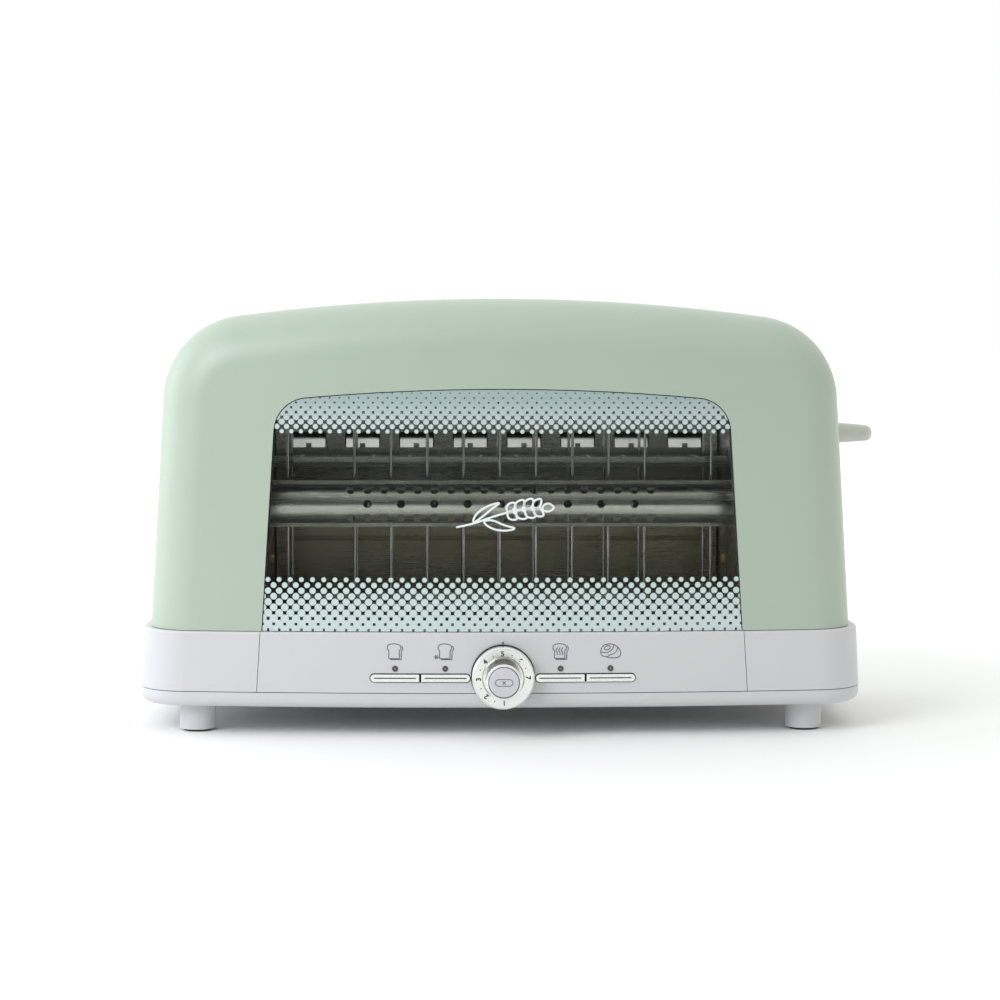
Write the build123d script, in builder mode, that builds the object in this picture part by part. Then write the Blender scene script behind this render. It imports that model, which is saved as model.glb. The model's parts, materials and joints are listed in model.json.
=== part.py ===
"""A long-slot pop-up toaster with a glass front, built as its separate pieces. Millimetres, +Z up."""
import math
import os

from build123d import *

os.makedirs("parts", exist_ok=True)

# ---------------------------------------------------------------- driving dimensions
# The body is drawn about the middle of its base. The lever and the dial stand out of it, so
# every piece is moved by these two amounts, which puts the origin under the middle of the whole.
BODY_X = -6.95
BODY_Y = 10.3

BASE_HALF_W = 189.2  # half width of the base at its lower seam
BASE_HALF_D = 85.0  # half depth at the middle of the bowed front
BASE_DRAFT = 1.4  # how far the base leans in between its seam and its top
BASE_CORNER = 27.0
BOW_R = 1401.0  # plan radius of the bowed front and back
PAN_Z = 14.8  # underside of the base
SEAM_Z = 22.6  # seam between the base cover and the pan
SEAM_GAP = 0.4
BASE_TOP_Z = 54.0
BASE_WALL = 2.4
LEDGE = 14.0  # width of the flange on top of the base

SHELL_Z = 54.3  # lower edge of the painted shell
SHELL_TOP_Z = 225.0
SHELL_HALF_W = 183.6  # half width of the shell at its lower edge
SHELL_HALF_D = 83.0
SHELL_LEAN = 0.058  # how far each side leans in for each millimetre of height
FRONT_LEAN = 0.02
CROWN_R = 1050.0  # radius of the arched top, seen from the front
SHOULDER_R = 45.0  # radius where the top turns into the sides
EDGE_R = 26.0  # rounding of the front and rear edges
WALL = 2.0

WINDOW_HALF_W = 124.0  # half width of the window at its lower edge
WINDOW_LEAN = 0.064
WINDOW_TOP_Z = 178.8
WINDOW_ARCH_R = 1122.0
WINDOW_CORNER = 18.0
GLASS = 3.0
CUT = 110.0  # how far a cut or a boss drawn on the middle plane runs out through the front

SLOT_HALF_L = 127.0  # bread slot, inside the collar
SLOT_HALF_W = 20.0
CHAMBER_X = 124.8  # inner face of each end plate
SHEET = 1.2
GUARD_Y = 18.6
GUARD_PITCH = 19.5
HEATER_Z = 117.2
FRONT_HEATER_Y = -33.0
REAR_HEATER_Y = 31.0
REFLECTOR_Y = 41.0
HEAT_SHIELD_Y = 52.0
CHASSIS_Z = 54.1
PLATE_TOP_Z = 203.0

TRAVEL = 75.0  # stroke of the bread carriage
RACK_Z = 140.4  # top of the bread rack when it is up
ROD_X = 151.0
LEVER_Z = 153.4
LEVER_TIP_X = 203.0

DIAL_Z = 31.6
DIAL_R = 16.0
KEY_Z = 30.7
KEY_H = 3.8
KEY_OUT = 67.9  # outer and inner ends of each pair of keys
KEY_IN = 17.0
KEY_GAP = 1.1
KEY_CLEAR = 0.5  # gap round each pair of keys in the panel
KEY_GROOVE = 0.9  # depth of the line along each key's face
LAMP_X = (-55.3, -29.6, 29.6, 55.3)  # the status lamps, one above each key
LENS_Z = 35.5
FOOT_X = 159.0
FOOT_Y = 56.0
FOOT_R = 9.5
PAD_R = 7.6
SCREW_SPOTS = [(145, -70), (-145, -70), (145, 70), (-145, 70), (179.5, 0), (-179.5, 0),
               (110, -73), (-110, -73)]


# ---------------------------------------------------------------- helpers
def write(piece, label):
    """Moves a finished sub-part from body to model coordinates, labels it and writes it."""
    piece.part.label = label
    piece.part.position = piece.part.position + Vector(BODY_X, BODY_Y, 0)
    export_step(piece.part, f"parts/{label}.step")


def block(x0, x1, y0, y1, z0, z1, mode=Mode.ADD):
    """A box between two corners."""
    with Locations(((x0 + x1) / 2, (y0 + y1) / 2, (z0 + z1) / 2)):
        Box(x1 - x0, y1 - y0, z1 - z0, mode=mode)


def upright(x, y, z0, z1, radius, mode=Mode.ADD):
    """A cylinder along Z."""
    with Locations((x, y, (z0 + z1) / 2)):
        Cylinder(radius, z1 - z0, mode=mode)


def across(x0, x1, y, z, radius, mode=Mode.ADD):
    """A cylinder along X."""
    with Locations(((x0 + x1) / 2, y, z)):
        Cylinder(radius, x1 - x0, rotation=(0, 90, 0), mode=mode)


def along(x, y0, y1, z, radius, mode=Mode.ADD):
    """A cylinder along Y."""
    with Locations((x, (y0 + y1) / 2, z)):
        Cylinder(radius, y1 - y0, rotation=(90, 0, 0), mode=mode)


def bow(x):
    """How far the bowed front stands back at a distance x from the middle."""
    return BOW_R - math.sqrt(BOW_R**2 - x**2)


def bowed_plan(half_w, half_d, corner, z):
    """The body's plan: a rounded rectangle with a bowed front and back."""
    side = half_d - bow(half_w)
    with BuildSketch(Plane.XY.offset(z)) as plan:
        with BuildLine():
            ThreePointArc((-half_w, -side), (0, -half_d), (half_w, -side))
            Line((half_w, -side), (half_w, side))
            ThreePointArc((half_w, side), (0, half_d), (-half_w, side))
            Line((-half_w, side), (-half_w, -side))
        make_face()
        if corner > 0:
            fillet(plan.vertices(), corner)
    return plan.sketch


def base_form(inset, z0, z1):
    """The base's outside between two heights, or the same form inset by a wall."""
    lean = BASE_DRAFT / (BASE_TOP_Z - SEAM_Z)
    with BuildPart() as form:
        in0 = inset + lean * (z0 - SEAM_Z)
        in1 = inset + lean * (z1 - SEAM_Z)
        loft([bowed_plan(BASE_HALF_W - in0, BASE_HALF_D - in0, BASE_CORNER - inset, z0),
              bowed_plan(BASE_HALF_W - in1, BASE_HALF_D - in1, BASE_CORNER - inset, z1)], ruled=True)
    return form.part


def shell_form(inset):
    """The shell's outside, or the same form inset by a wall: arched, with rounded long edges."""
    high = 250.0
    rise = high - SHELL_Z
    top = SHELL_TOP_Z - inset
    half = SHELL_HALF_W - inset
    depth = SHELL_HALF_D - inset
    shoulder_x = half - SHELL_LEAN * (top - 12 - SHELL_Z)
    crown = CROWN_R - inset
    shoulder_z = top - crown + math.sqrt(crown**2 - shoulder_x**2)
    with BuildPart() as form:
        with BuildSketch(Plane.XZ) as profile:
            with BuildLine():
                Line((-shoulder_x, shoulder_z), (-half, SHELL_Z))
                Line((-half, SHELL_Z), (half, SHELL_Z))
                Line((half, SHELL_Z), (shoulder_x, shoulder_z))
                ThreePointArc((shoulder_x, shoulder_z), (0, top), (-shoulder_x, shoulder_z))
            make_face()
            fillet(profile.vertices().group_by(Axis.Y)[-1], SHOULDER_R - inset)
        extrude(amount=120, both=True)
        loft([bowed_plan(230, depth, 0, SHELL_Z), bowed_plan(230, depth - FRONT_LEAN * rise, 0, high)],
             ruled=True, mode=Mode.INTERSECT)
        rim = form.faces().group_by(Axis.Z)[0].edges()
        long_edges = form.faces().sort_by(Axis.Y)[0].edges() + form.faces().sort_by(Axis.Y)[-1].edges()
        fillet([edge for edge in long_edges if edge not in rim], EDGE_R - inset)
    return form.part


def window_outline(grow):
    """The window's outline on the front plane, grown or shrunk all round, running below the sill."""
    drop = 20
    foot = WINDOW_HALF_W + grow + WINDOW_LEAN * drop
    low = SHELL_Z - drop
    top = WINDOW_TOP_Z + grow
    head = WINDOW_HALF_W + grow - WINDOW_LEAN * (top - 6 - SHELL_Z)
    head_z = top - WINDOW_ARCH_R + math.sqrt(WINDOW_ARCH_R**2 - head**2)
    with BuildSketch(Plane.XZ) as outline:
        with BuildLine():
            Line((-head, head_z), (-foot, low))
            Line((-foot, low), (foot, low))
            Line((foot, low), (head, head_z))
            ThreePointArc((head, head_z), (0, top), (-head, head_z))
        make_face()
        fillet(outline.vertices().group_by(Axis.Y)[-1], WINDOW_CORNER + grow)
    return outline.sketch


def panel_outline(shrink):
    """The control panel's outline on the front plane: it carries on the window's leaning sides."""
    top = WINDOW_HALF_W + 0.8 - shrink
    foot = top + 1.9
    with BuildSketch(Plane.XZ) as outline:
        with BuildLine():
            Polyline((-top, BASE_TOP_Z), (-foot, SEAM_Z), (foot, SEAM_Z), (top, BASE_TOP_Z), close=True)
        make_face()
    return outline.sketch


def key_pair_outline(side, grow):
    """One pair of keys: a long bar with round ends, left (-1) or right (+1) of the dial."""
    with BuildSketch(Plane.XZ) as outline:
        with Locations((side * (KEY_OUT + KEY_IN) / 2, KEY_Z)):
            SlotOverall(KEY_OUT - KEY_IN + 2 * grow, KEY_H + 2 * grow)
    return outline.sketch


def front_band(out, back):
    """A slab that follows the bowed front, from out in front of it to back behind it."""
    with BuildSketch(Plane.XY.offset(SEAM_Z - 4)) as band:
        with BuildLine():
            edge = 140.0
            near = -BASE_HALF_D + 0.4 + bow(edge)
            ThreePointArc((-edge, near - out), (0, -BASE_HALF_D + 0.4 - out), (edge, near - out))
            Line((edge, near - out), (edge, near + back))
            ThreePointArc((edge, near + back), (0, -BASE_HALF_D + 0.4 + back), (-edge, near + back))
            Line((-edge, near + back), (-edge, near - out))
        make_face()
    return band.sketch


# ---------------------------------------------------------------- outer shell, collar and window
SHELL_OUTSIDE = shell_form(0)
SHELL_INSIDE = shell_form(WALL)

with BuildPart() as outer_shell:
    add(SHELL_OUTSIDE)
    add(SHELL_INSIDE, mode=Mode.SUBTRACT)
    extrude(window_outline(0), amount=CUT, mode=Mode.SUBTRACT)
    with BuildSketch(Plane.XY.offset(190)):
        RectangleRounded(2 * SLOT_HALF_L + 4, 2 * SLOT_HALF_W + 4, 8)
    extrude(amount=60, mode=Mode.SUBTRACT)
    block(165, 200, -2.6, 2.6, LEVER_Z - TRAVEL - 7, LEVER_Z + 6, mode=Mode.SUBTRACT)
write(outer_shell, "outer_shell")

COLLAR_PROUD = 0.35
COLLAR_OUTSIDE = shell_form(-COLLAR_PROUD)

with BuildPart() as collar_flange:
    with BuildSketch(Plane.XY.offset(SHELL_TOP_Z - 14)):
        RectangleRounded(2 * SLOT_HALF_L + 12, 2 * SLOT_HALF_W + 12, 12)
        RectangleRounded(2 * SLOT_HALF_L, 2 * SLOT_HALF_W, 6, mode=Mode.SUBTRACT)
    extrude(amount=30)
    add(COLLAR_OUTSIDE, mode=Mode.INTERSECT)
    add(shell_form(-0.05), mode=Mode.SUBTRACT)

with BuildPart() as slot_collar:
    with BuildSketch(Plane.XY.offset(PLATE_TOP_Z + 1.6)):
        RectangleRounded(2 * SLOT_HALF_L + 3, 2 * SLOT_HALF_W + 3, 7.5)
        RectangleRounded(2 * SLOT_HALF_L, 2 * SLOT_HALF_W, 6, mode=Mode.SUBTRACT)
    extrude(amount=40)
    add(COLLAR_OUTSIDE, mode=Mode.INTERSECT)
    add(collar_flange.part)
write(slot_collar, "slot_collar")

with BuildPart() as window_glass:
    extrude(window_outline(-0.35), amount=CUT)
    add(shell_form(0.5), mode=Mode.INTERSECT)
    add(shell_form(0.5 + GLASS), mode=Mode.SUBTRACT)
write(window_glass, "window_glass")

with BuildPart() as window_frame:
    extrude(window_outline(8), amount=CUT)
    extrude(window_outline(-0.8), amount=CUT, mode=Mode.SUBTRACT)
    add(shell_form(0.55 + GLASS), mode=Mode.INTERSECT)
    add(shell_form(1.95 + GLASS), mode=Mode.SUBTRACT)
    split(bisect_by=Plane.XY.offset(CHASSIS_Z + SHEET + 0.1), keep=Keep.TOP)
write(window_frame, "window_frame")

# ---------------------------------------------------------------- base cover, control panel, pan and feet
COVER_Z = SEAM_Z + SEAM_GAP
TRAY_OPENING = (-125.2, 125.2, 40.4, 51.2)  # in the back of the base: X from and to, Z from and to
TRAY_LEDGE_Y = 75.0  # the top flange is narrower above the tray: it starts here
GLAND_X = -100.0
GLAND_Z = 32.8

with BuildPart() as base_ring:
    add(base_form(0, COVER_Z, BASE_TOP_Z))
    fillet(base_ring.faces().sort_by(Axis.Z)[-1].edges(), 1.2)
    add(base_form(BASE_WALL, COVER_Z - 1, BASE_TOP_Z - BASE_WALL), mode=Mode.SUBTRACT)
    add(base_form(LEDGE, COVER_Z - 1, BASE_TOP_Z + 1), mode=Mode.SUBTRACT)

with BuildPart() as base_cover:
    add(base_ring.part)
    extrude(panel_outline(0), amount=CUT, mode=Mode.SUBTRACT)
    for x, y in SCREW_SPOTS[:6]:
        upright(x, y, 26.2, BASE_TOP_Z - 1, 4.0)
        upright(x, y, 26.2, 40, 1.3, mode=Mode.SUBTRACT)
    x0, x1, z0, z1 = TRAY_OPENING
    block(x0, x1, 60, 95, z0, z1, mode=Mode.SUBTRACT)
    block(x0 - 2, x1 + 2, 60, TRAY_LEDGE_Y, z1 - 2, BASE_TOP_Z + 1, mode=Mode.SUBTRACT)
    along(GLAND_X, 60, 95, GLAND_Z, 6.1, mode=Mode.SUBTRACT)
write(base_cover, "base_cover")

with BuildPart() as control_panel:
    extrude(panel_outline(0.3), amount=CUT)
    add(base_ring.part, mode=Mode.INTERSECT)
    for x, y in SCREW_SPOTS[6:]:
        upright(x, y, 26.2, BASE_TOP_Z - 1, 3.6)
        upright(x, y, 26.2, 40, 1.3, mode=Mode.SUBTRACT)
    for side in (-1, 1):
        extrude(key_pair_outline(side, KEY_CLEAR), amount=CUT, mode=Mode.SUBTRACT)
    along(0, -CUT, -60, DIAL_Z, 4.9, mode=Mode.SUBTRACT)
    for x in LAMP_X:
        along(x, -CUT, -60, LENS_Z, 1.55, mode=Mode.SUBTRACT)
write(control_panel, "control_panel")

with BuildPart() as base_pan:
    add(base_form(0.2, PAN_Z, SEAM_Z))
    fillet(base_pan.faces().sort_by(Axis.Z)[0].edges(), 4.8)
    add(base_form(BASE_WALL, PAN_Z + 2.2, SEAM_Z + 1), mode=Mode.SUBTRACT)
    add(base_form(BASE_WALL + 0.3, PAN_Z + 2, SEAM_Z + 3.2))
    add(base_form(BASE_WALL + 1.8, PAN_Z + 2.2, SEAM_Z + 4), mode=Mode.SUBTRACT)
    for x, y in SCREW_SPOTS:
        upright(x, y, PAN_Z + 1, 26.0, 4.2)
        upright(x, y, PAN_Z - 1, 27, 1.7, mode=Mode.SUBTRACT)
        upright(x, y, PAN_Z - 1, 18.6, 3.4, mode=Mode.SUBTRACT)
    for x in (-FOOT_X, FOOT_X):
        for y in (-FOOT_Y, FOOT_Y):
            upright(x, y, PAN_Z - 1, 20, 3.2, mode=Mode.SUBTRACT)
    with Locations((-60, 10, PAN_Z), (60, 10, PAN_Z)):
        with GridLocations(12, 0, 7, 1):
            Box(4, 60, 12, mode=Mode.SUBTRACT)
write(base_pan, "base_pan")

with BuildPart() as feet:
    for x in (-FOOT_X, FOOT_X):
        for y in (-FOOT_Y, FOOT_Y):
            upright(x, y, 1.2, PAN_Z - 0.02, FOOT_R)
            upright(x, y, PAN_Z - 1, 20.5, 3.1)
            upright(x, y, 1, 3.3, PAD_R + 0.05, mode=Mode.SUBTRACT)
write(feet, "feet")

with BuildPart() as foot_pads:
    for x in (-FOOT_X, FOOT_X):
        for y in (-FOOT_Y, FOOT_Y):
            upright(x, y, 0, 3.25, PAD_R)
    fillet(foot_pads.edges().group_by(Axis.Z)[0], 0.5)
write(foot_pads, "foot_pads")

with BuildPart() as cord_gland:
    along(GLAND_X, 70, 82.4, GLAND_Z, 5.95)
    along(GLAND_X, 81.9, 83.7, GLAND_Z, 7.2)
    along(GLAND_X, 60, 90, GLAND_Z, 3.6, mode=Mode.SUBTRACT)
write(cord_gland, "cord_gland")

with BuildPart() as base_screws:
    for x, y in SCREW_SPOTS:
        upright(x, y, 16.4, 18.55, 3.1)
        upright(x, y, 18, 36, 1.28)
        block(x - 2, x + 2, y - 0.4, y + 0.4, 16, 17.3, mode=Mode.SUBTRACT)
        block(x - 0.4, x + 0.4, y - 2, y + 2, 16, 17.3, mode=Mode.SUBTRACT)
write(base_screws, "base_screws")

# ---------------------------------------------------------------- controls
BOARD_Y = -75.2
SWITCH_Y = -79.4
FRONT_Y = -BASE_HALF_D + 0.4  # the panel's face behind the dial
DIAL_PROFILE = [(3.35, 0.8), (15.5, 0.8), (16.0, 1.3), (16.0, 7.2), (15.3, 8.0), (10.9, 8.0), (10.2, 7.0),
                (9.2, 7.0), (9.2, 21.8), (8.5, 22.4), (8.0, 22.4), (8.0, 12.0), (3.35, 12.0)]

with BuildPart() as dial_knob:
    with BuildSketch(Plane.XY.offset(DIAL_Z)):
        with BuildLine():
            Polyline([(r, FRONT_Y - out) for r, out in DIAL_PROFILE], close=True)
        make_face()
    revolve(axis=Axis((0, 0, DIAL_Z), (0, 1, 0)))
write(dial_knob, "dial_knob")

with BuildPart() as dial_shaft:
    along(0, FRONT_Y - 11.5, BOARD_Y - 2.6, DIAL_Z, 3.3)
    along(0, FRONT_Y - 20, BOARD_Y + 5, DIAL_Z, 2.1, mode=Mode.SUBTRACT)
write(dial_shaft, "dial_shaft")

with BuildPart() as dial_encoder:
    block(-7, 7, -81.2, BOARD_Y - 0.05, DIAL_Z - 5.4, DIAL_Z + 7)
    along(0, FRONT_Y - 0.3, -81, DIAL_Z, 4.7)
    along(0, -90, -70, DIAL_Z, 3.6, mode=Mode.SUBTRACT)
write(dial_encoder, "dial_encoder")

with BuildPart() as cancel_button:
    along(0, FRONT_Y - 23.0, FRONT_Y - 14.0, DIAL_Z, 7.6)
    fillet(cancel_button.edges().sort_by(Axis.Y)[0], 0.8)
    along(0, FRONT_Y - 15, BOARD_Y - 3.6, DIAL_Z, 1.7)
write(cancel_button, "cancel_button")

KEY_MIDDLE = (KEY_OUT + KEY_IN) / 2  # where the two keys of a pair meet
KEYS = {"key_bread": (-KEY_OUT, -KEY_MIDDLE - KEY_GAP / 2),
        "key_frozen": (-KEY_MIDDLE + KEY_GAP / 2, -KEY_IN),
        "key_reheat": (KEY_IN, KEY_MIDDLE - KEY_GAP / 2),
        "key_roll": (KEY_MIDDLE + KEY_GAP / 2, KEY_OUT)}

for label, (x0, x1) in KEYS.items():
    middle = (x0 + x1) / 2
    with BuildPart() as key_bar:
        extrude(key_pair_outline(math.copysign(1, middle), 0), amount=CUT)
        block(x0, x1, -CUT, 0, KEY_Z - KEY_H, KEY_Z + KEY_H, mode=Mode.INTERSECT)
    with BuildPart() as key:
        extrude(front_band(0.9, 3.0), amount=40)
        add(key_bar.part, mode=Mode.INTERSECT)
        block(x0 + 1.5, x1 - 1.5, -90, FRONT_Y - 0.9 + KEY_GROOVE + bow(middle), KEY_Z - 0.3, KEY_Z + 0.3,
              mode=Mode.SUBTRACT)
        block(middle - 3, middle + 3, -82.6, SWITCH_Y - 1.1, KEY_Z - 1.2, KEY_Z + 1.2)
    write(key, label)

with BuildPart() as status_lenses:
    for x in LAMP_X:
        along(x, FRONT_Y - 0.3 + bow(x), -79, LENS_Z, 1.5)
    fillet(status_lenses.edges().group_by(Axis.Y)[0], 0.3)
write(status_lenses, "status_lenses")

with BuildPart() as control_board:
    block(-78, 78, BOARD_Y, BOARD_Y + 1.6, 27.5, 50)
    for x, high in ((-66, 6), (-44, 4), (40, 5), (64, 7)):
        block(x - 7, x + 7, BOARD_Y + 1.6, BOARD_Y + 1.6 + high, 37, 47)
write(control_board, "control_board")

with BuildPart() as push_switches:
    for x0, x1 in KEYS.values():
        middle = (x0 + x1) / 2
        block(middle - 3, middle + 3, BOARD_Y - 3.4, BOARD_Y - 0.05, KEY_Z - 3, KEY_Z + 3)
        along(middle, SWITCH_Y, BOARD_Y - 3.2, KEY_Z, 1.6)
    along(0, BOARD_Y - 2.0, BOARD_Y - 0.05, DIAL_Z, 1.7)
write(push_switches, "push_switches")

# ---------------------------------------------------------------- chamber: plates, guards, heaters
with BuildPart() as chassis_frame:
    block(-168, 168, -66, 66, CHASSIS_Z, CHASSIS_Z + SHEET)
    block(-121, 121, -48, 48, CHASSIS_Z - 1, CHASSIS_Z + 3, mode=Mode.SUBTRACT)
write(chassis_frame, "chassis_frame")

PLATE_Z = CHASSIS_Z + SHEET
for label, side in (("left_end_plate", -1), ("right_end_plate", 1)):
    with BuildPart() as end_plate:
        inner = side * CHAMBER_X
        outer = side * (CHAMBER_X + SHEET)
        block(min(inner, outer), max(inner, outer), -69.5, 56, PLATE_Z, PLATE_TOP_Z)
        fillet(end_plate.edges().filter_by(Axis.X).group_by(Axis.Z)[-1], 9)
        for z in (PLATE_Z, PLATE_TOP_Z - SHEET):
            block(min(inner, side * 136), max(inner, side * 136), -60, 50, z, z + SHEET)
        block(-140, 140, -2.6, 2.6, RACK_Z - TRAVEL - 8, RACK_Z + 5, mode=Mode.SUBTRACT)
        across(-140, 140, FRONT_HEATER_Y, HEATER_Z, 6.6, mode=Mode.SUBTRACT)
        across(-140, 140, REAR_HEATER_Y, HEATER_Z, 6.6, mode=Mode.SUBTRACT)
        across(-140, 140, 12, 83, 1.55, mode=Mode.SUBTRACT)
    write(end_plate, label)

with BuildPart() as side_screws:
    for side in (-1, 1):
        head = sorted((side * (CHAMBER_X - 1.6), side * CHAMBER_X))
        shank = sorted((side * (CHAMBER_X - 0.2), side * 133))
        across(*head, 12, 83, 2.6)
        across(*shank, 12, 83, 1.5)
write(side_screws, "side_screws")

with BuildPart() as top_baffle:
    block(-140, 140, -62, 56, PLATE_TOP_Z + 0.05, PLATE_TOP_Z + SHEET)
    block(-157, 157, -26, 26, PLATE_TOP_Z + 0.05, PLATE_TOP_Z + SHEET)
    block(-SLOT_HALF_L, SLOT_HALF_L, -SLOT_HALF_W - 1.5, SLOT_HALF_W + 1.5, PLATE_TOP_Z - 1,
          PLATE_TOP_Z + 3, mode=Mode.SUBTRACT)
write(top_baffle, "top_baffle")

WIRE_X = [GUARD_PITCH * i for i in range(-4, 5)] + [-113.7, 113.7]
for label, y in (("front_guard", -GUARD_Y), ("rear_guard", GUARD_Y)):
    with BuildPart() as guard:
        for z in (61, 199):
            across(-124.6, 124.6, y, z, 1.2)
        for x in WIRE_X:
            upright(x, y, 61, 199, 0.8)
    write(guard, label)

VENT_Z = 147.5  # row of vents in the reflector, each with a lance bent back from its lower edge
VENT_PITCH = 30.2
VENT_W = 19.6
LANCE_Y = REFLECTOR_Y + 5.6

with BuildPart() as rear_reflector:
    block(-123.8, 123.8, REFLECTOR_Y, REFLECTOR_Y + 0.8, 64, 200)
    for z in (64, 199.2):
        block(-123.8, 123.8, REFLECTOR_Y, HEAT_SHIELD_Y - 0.2, z, z + 0.8)
    for z in (92, 164):
        across(-118, 118, REFLECTOR_Y, z, 1.3)
    with BuildSketch(Plane.XZ.offset(-REFLECTOR_Y - 3)):
        for i in range(8):
            with Locations((VENT_PITCH * (i - 3.5), VENT_Z)):
                RectangleRounded(VENT_W, 8.6, 1)
            with Locations((VENT_PITCH * (i - 3.5), VENT_Z - 3.3)):
                Rectangle(3, 2.6, mode=Mode.SUBTRACT)
    extrude(amount=6, mode=Mode.SUBTRACT)
    for i in range(8):
        with BuildSketch(Plane.YZ.offset(VENT_PITCH * (i - 3.5) - VENT_W / 2 + 0.6)):
            Polygon((REFLECTOR_Y, VENT_Z - 4.6), (REFLECTOR_Y + 0.8, VENT_Z - 4.9), (LANCE_Y, VENT_Z + 4.2),
                    (LANCE_Y - 0.6, VENT_Z + 4.5), align=None)
        extrude(amount=VENT_W - 1.2)
write(rear_reflector, "rear_reflector")

with BuildPart() as rear_heat_shield:
    block(-124.4, 124.4, HEAT_SHIELD_Y, HEAT_SHIELD_Y + 0.8, 58, 200)
write(rear_heat_shield, "rear_heat_shield")

COVER_FRONT_Y = -43.0
COVER_EDGE_Y = -38.4
COVER_HALF_H = 10.1
COVER_LIP = 1.8

with BuildPart() as heater_cover:
    with BuildSketch(Plane.YZ.offset(-123.6)) as section:
        with BuildLine():
            low = HEATER_Z - COVER_HALF_H
            high = HEATER_Z + COVER_HALF_H
            Polyline((COVER_EDGE_Y + 3.5, low - COVER_LIP), (COVER_EDGE_Y, low - COVER_LIP),
                     (COVER_EDGE_Y, low))
            ThreePointArc((COVER_EDGE_Y, low), (COVER_FRONT_Y, HEATER_Z), (COVER_EDGE_Y, high))
            Polyline((COVER_EDGE_Y, high), (COVER_EDGE_Y, high + COVER_LIP),
                     (COVER_EDGE_Y + 3.5, high + COVER_LIP))
            offset(amount=0.35)
        make_face()
    extrude(amount=247.2)
    with BuildSketch(Plane.XZ.offset(-COVER_EDGE_Y - 1)):
        for z in (HEATER_Z - 7.4, HEATER_Z + 7.4):
            with Locations((0, z)):
                with GridLocations(8.8, 0, 19, 1):
                    RegularPolygon(2.4, 6)
        with Locations((0, HEATER_Z)):
            with GridLocations(17.6, 0, 9, 1):
                RegularPolygon(2.4, 6)
    extrude(amount=12, mode=Mode.SUBTRACT)
write(heater_cover, "heater_cover")

for place, y in (("front", FRONT_HEATER_Y), ("rear", REAR_HEATER_Y)):
    with BuildPart() as tube:
        across(-118, 118, y, HEATER_Z, 5.0)
        across(-119, 119, y, HEATER_Z, 4.0, mode=Mode.SUBTRACT)
    write(tube, f"{place}_heater_tube")
    with BuildPart() as filament:
        block(-112, 112, y - 0.4, y + 0.4, HEATER_Z - 2.5, HEATER_Z + 2.5)
        with Locations((0, y, HEATER_Z - 2.5), (5, y, HEATER_Z + 2.5)):
            with GridLocations(10, 0, 21, 1):
                Box(1.2, 2, 6, mode=Mode.SUBTRACT)
        across(-114, -111, y, HEATER_Z, 2.0)
        across(111, 114, y, HEATER_Z, 2.0)
    write(filament, f"{place}_heater_element")

with BuildPart() as heater_caps:
    for y in (FRONT_HEATER_Y, REAR_HEATER_Y):
        across(-131, -114.2, y, HEATER_Z, 6.5)
        across(114.2, 131, y, HEATER_Z, 6.5)
        across(-118.1, 118.1, y, HEATER_Z, 5.05, mode=Mode.SUBTRACT)
write(heater_caps, "heater_caps")

# ---------------------------------------------------------------- bread carriage and lever
SLIDER_Z = 146.0
with BuildPart() as bread_rack:
    block(-141, 143, -1, 1, RACK_Z - 6, RACK_Z)
    for i in range(-6, 6):
        x = GUARD_PITCH * (i + 0.5)
        block(x - 0.8, x + 0.8, -14, 14, RACK_Z - 2.2, RACK_Z)
    block(-111, 111, -14.6, -13.4, RACK_Z - 2.7, RACK_Z)
    block(-111, 111, 13.4, 14.6, RACK_Z - 2.7, RACK_Z)
write(bread_rack, "bread_rack")

with BuildPart() as carriage_slider:
    block(143.05, 159, -9, 9, SLIDER_Z - 12, SLIDER_Z + 10)
    fillet(carriage_slider.edges().filter_by(Axis.Z), 2)
    upright(ROD_X, 0, SLIDER_Z - 20, SLIDER_Z + 20, 2.58, mode=Mode.SUBTRACT)
    block(149.5, 152.5, 9, 18, SLIDER_Z + 2, SLIDER_Z + 4)
write(carriage_slider, "carriage_slider")

with BuildPart() as left_slider:
    block(-153, -141.05, -6, 6, RACK_Z - 9, RACK_Z + 5)
    upright(-147, 0, RACK_Z - 20, RACK_Z + 20, 2.08, mode=Mode.SUBTRACT)
write(left_slider, "left_slider")

with BuildPart() as lever_arm:
    block(159.05, 160.6, -8, 8, SLIDER_Z - 8, LEVER_Z + 4)
    block(160.6, 196, -1.2, 1.2, LEVER_Z - 4, LEVER_Z + 4)
write(lever_arm, "lever_arm")

with BuildPart() as lever_knob:
    with BuildSketch(Plane.YZ.offset(183.8)):
        with Locations((0, LEVER_Z)):
            RectangleRounded(20, 11.0, 4.4)
    with BuildSketch(Plane.YZ.offset(LEVER_TIP_X)):
        with Locations((0, LEVER_Z - 0.2)):
            RectangleRounded(17, 8.2, 3.9)
    loft()
    fillet(lever_knob.faces().sort_by(Axis.X)[-1].edges(), 3.6)
    block(183, 196.2, -1.25, 1.25, LEVER_Z - 4.05, LEVER_Z + 4.05, mode=Mode.SUBTRACT)
write(lever_knob, "lever_knob")

with BuildPart() as latch_keeper:
    block(144, 158, -27, -9.05, SLIDER_Z + 6, SLIDER_Z + 8)
write(latch_keeper, "latch_keeper")

with BuildPart() as latch_magnet:
    upright(ROD_X, -18, PLATE_Z, SLIDER_Z + 5.4 - TRAVEL, 4)
    upright(ROD_X, -18, PLATE_Z + 1, PLATE_Z + 2.5, 8.5)
    upright(ROD_X, -18, PLATE_Z + 2.5, SLIDER_Z + 2 - TRAVEL, 7.5)
    upright(ROD_X, -18, SLIDER_Z + 2 - TRAVEL, SLIDER_Z + 3.5 - TRAVEL, 8.5)
write(latch_magnet, "latch_magnet")

with BuildPart() as right_guide_rod:
    upright(ROD_X, 0, PLATE_Z, PLATE_TOP_Z, 2.5)
write(right_guide_rod, "right_guide_rod")

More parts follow.
